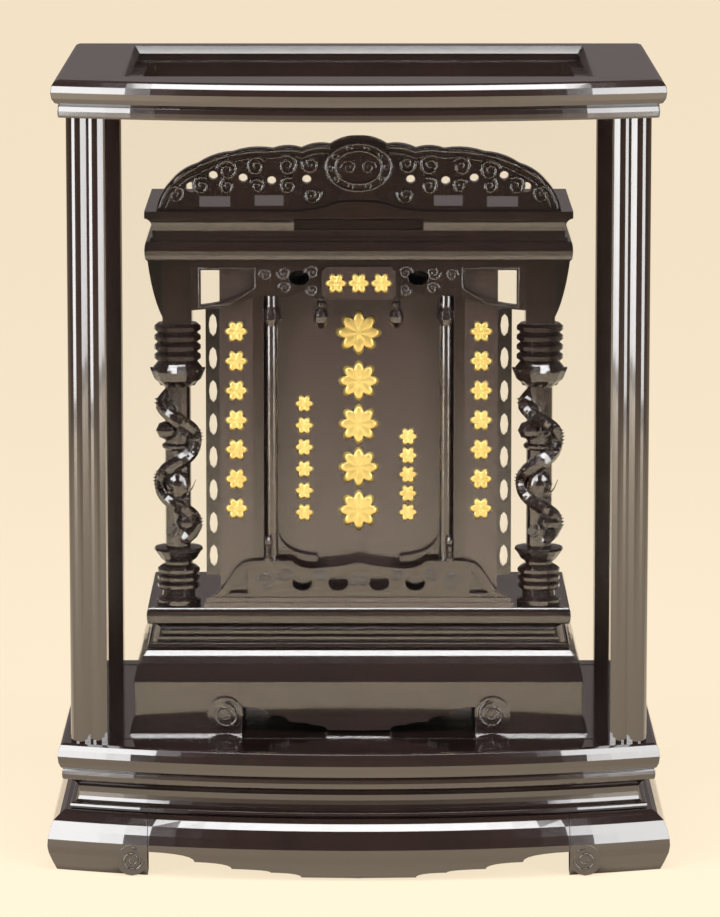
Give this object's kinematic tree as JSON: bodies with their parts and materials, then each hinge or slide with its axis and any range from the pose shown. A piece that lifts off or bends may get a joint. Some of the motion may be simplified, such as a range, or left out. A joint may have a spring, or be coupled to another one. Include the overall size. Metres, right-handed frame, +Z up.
{
  "type": "ancestor shrine",
  "caption": "Carved and lacquered ancestor shrine with dragon columns, pierced crown and name board, standing in a bow-fronted glazed four-post case.",
  "frame": {"origin": "on the floor, under the middle of the case's bounding box", "axes": "+X to the right seen from the front, +Y to the back, +Z up"},
  "size_m": [0.4814, 0.3844, 0.612],
  "materials": {
    "lacquer": "very glossy black-brown lacquer over carved hardwood",
    "board_lacquer": "flat glossy brown-black lacquered boards",
    "slip_wood": "plain planed wood",
    "glass": "clear flat glass"
  },
  "bodies": {
    "case": {"case_foot_front_left": "lacquer", "case_foot_front_right": "lacquer", "case_foot_back_right": "lacquer", "case_foot_back_left": "lacquer", "case_apron_front": "lacquer", "case_apron_back": "lacquer", "case_apron_left": "lacquer", "case_apron_right": "lacquer", "case_waist": "lacquer", "case_base_plate": "lacquer", "case_post_front_left": "lacquer", "case_post_front_right": "lacquer", "case_post_back_right": "lacquer", "case_post_back_left": "lacquer", "top_rail_front": "lacquer", "top_rail_back": "lacquer", "top_rail_left": "lacquer", "top_rail_right": "lacquer", "shrine_base_front": "lacquer", "shrine_base_back": "lacquer", "shrine_base_left": "lacquer", "shrine_base_right": "lacquer", "shrine_waist": "lacquer", "shrine_plate": "lacquer", "bottom_apron": "lacquer", "top_apron": "lacquer", "cornice_slab": "lacquer", "cornice_cove": "lacquer", "crown_board": "lacquer", "crown_medallion": "lacquer", "column_left": "lacquer", "column_right": "lacquer", "bracket_left": "lacquer", "bracket_right": "lacquer", "rear_post_left": "lacquer", "rear_post_right": "lacquer", "wing_left": "lacquer", "wing_right": "lacquer", "name_stile_left": "lacquer", "name_stile_right": "lacquer", "pendant_left": "lacquer", "pendant_right": "lacquer", "finial_left": "lacquer", "finial_right": "lacquer", "shrine_sill": "board_lacquer", "couplet_left": "board_lacquer", "couplet_right": "board_lacquer", "box_cheek_left": "board_lacquer", "box_cheek_right": "board_lacquer", "box_back": "board_lacquer", "plaque": "board_lacquer", "name_slip_1": "slip_wood", "name_slip_2": "slip_wood", "name_slip_3": "slip_wood", "pane_top": "glass", "pane_left": "glass", "pane_right": "glass", "pane_back": "glass"},
    "front_glass": {"front_glass": "glass"},
    "name_board": {"name_board": "board_lacquer"}
  },
  "joints": [
    {"name": "front_glass_lift", "type": "slide", "parent": "case", "child": "front_glass", "axis": [0, 0, 1], "range_m": [0, 0.01]},
    {"name": "name_board_lift", "type": "slide", "parent": "case", "child": "name_board", "axis": [0, 0, 1], "range_m": [0, 0.009]}
  ]
}
